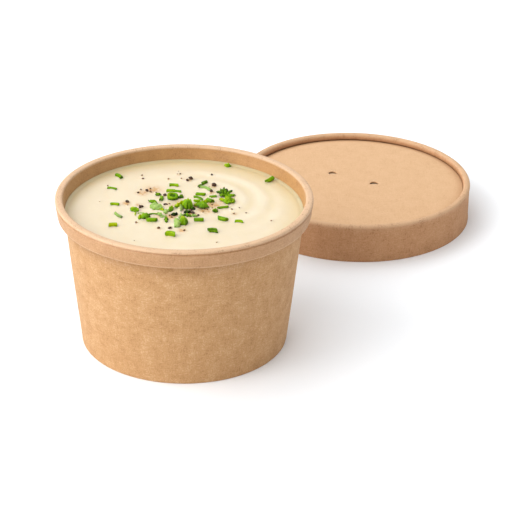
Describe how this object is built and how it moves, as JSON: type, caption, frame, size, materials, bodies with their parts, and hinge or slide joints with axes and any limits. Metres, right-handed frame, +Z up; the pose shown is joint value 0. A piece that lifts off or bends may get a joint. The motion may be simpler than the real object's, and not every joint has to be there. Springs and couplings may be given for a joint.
{
  "type": "takeaway soup container",
  "caption": "Round tapered brown board soup cup with a thick rolled collar, filled with cream soup under green garnish, its flat lid with a raised rim lying beside it.",
  "frame": {"origin": "on the table, under the middle of the box that holds the cup and its lid", "axes": "+Z up, +Y from the cup side towards the lid side, +X to the right as seen from the cup side"},
  "size_m": [0.1992, 0.2508, 0.07],
  "materials": {
    "kraft_board": "matt",
    "lid_board": "matt",
    "cream_soup": "satin",
    "green_herbs": "satin",
    "pepper": "matt"
  },
  "bodies": {
    "root": {"cup_wall": "kraft_board", "cup_base": "kraft_board", "soup": "cream_soup", "lid_ring": "lid_board", "lid_panel": "lid_board"}
  },
  "joints": []
}
